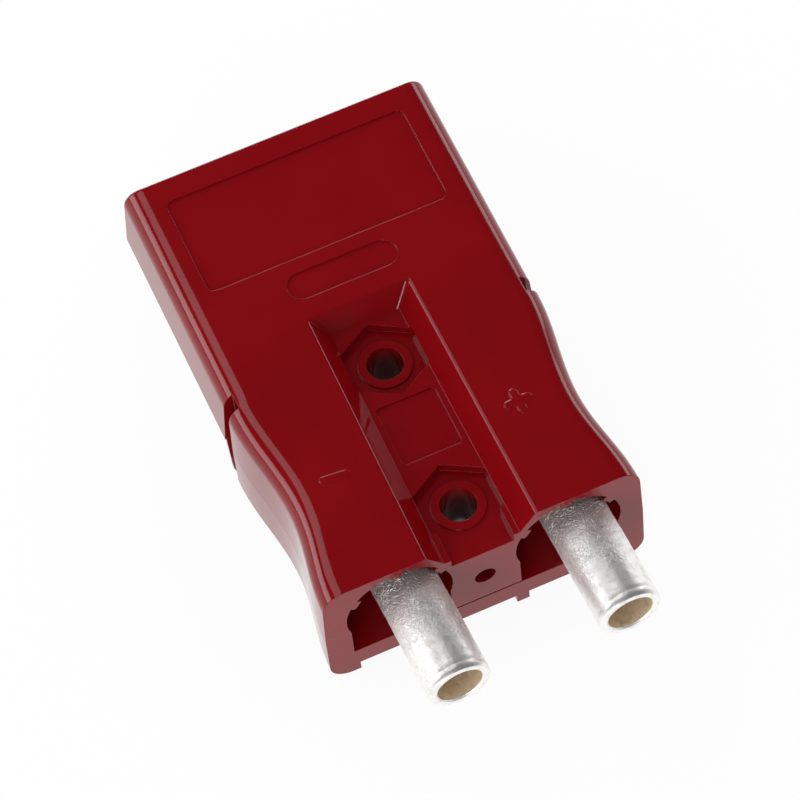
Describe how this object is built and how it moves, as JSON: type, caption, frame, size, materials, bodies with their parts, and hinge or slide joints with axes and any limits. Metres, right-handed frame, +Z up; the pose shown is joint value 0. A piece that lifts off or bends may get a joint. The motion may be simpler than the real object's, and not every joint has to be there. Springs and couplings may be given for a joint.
{
  "type": "genderless power connector",
  "caption": "Red moulded genderless power connector half with hood, nut-pocket channel and silver-plated crimp contacts with round wire barrels.",
  "frame": {"origin": "midway between the two mounting holes, on the face that the connector rests on", "axes": "+X towards the positive pole, +Y towards the mating face, +Z up through the top face with the nut pockets"},
  "size_m": [0.041, 0.0762, 0.0192],
  "materials": {
    "housing": "moulded crimson polycarbonate, glossy",
    "contact": "silver-plated copper, satin, finely scuffed",
    "spring": "stainless strip"
  },
  "bodies": {
    "root": {"upper_housing": "housing", "lower_housing": "housing", "contact_negative": "contact", "contact_positive": "contact", "spring_negative": "spring", "spring_positive": "spring"}
  },
  "joints": []
}
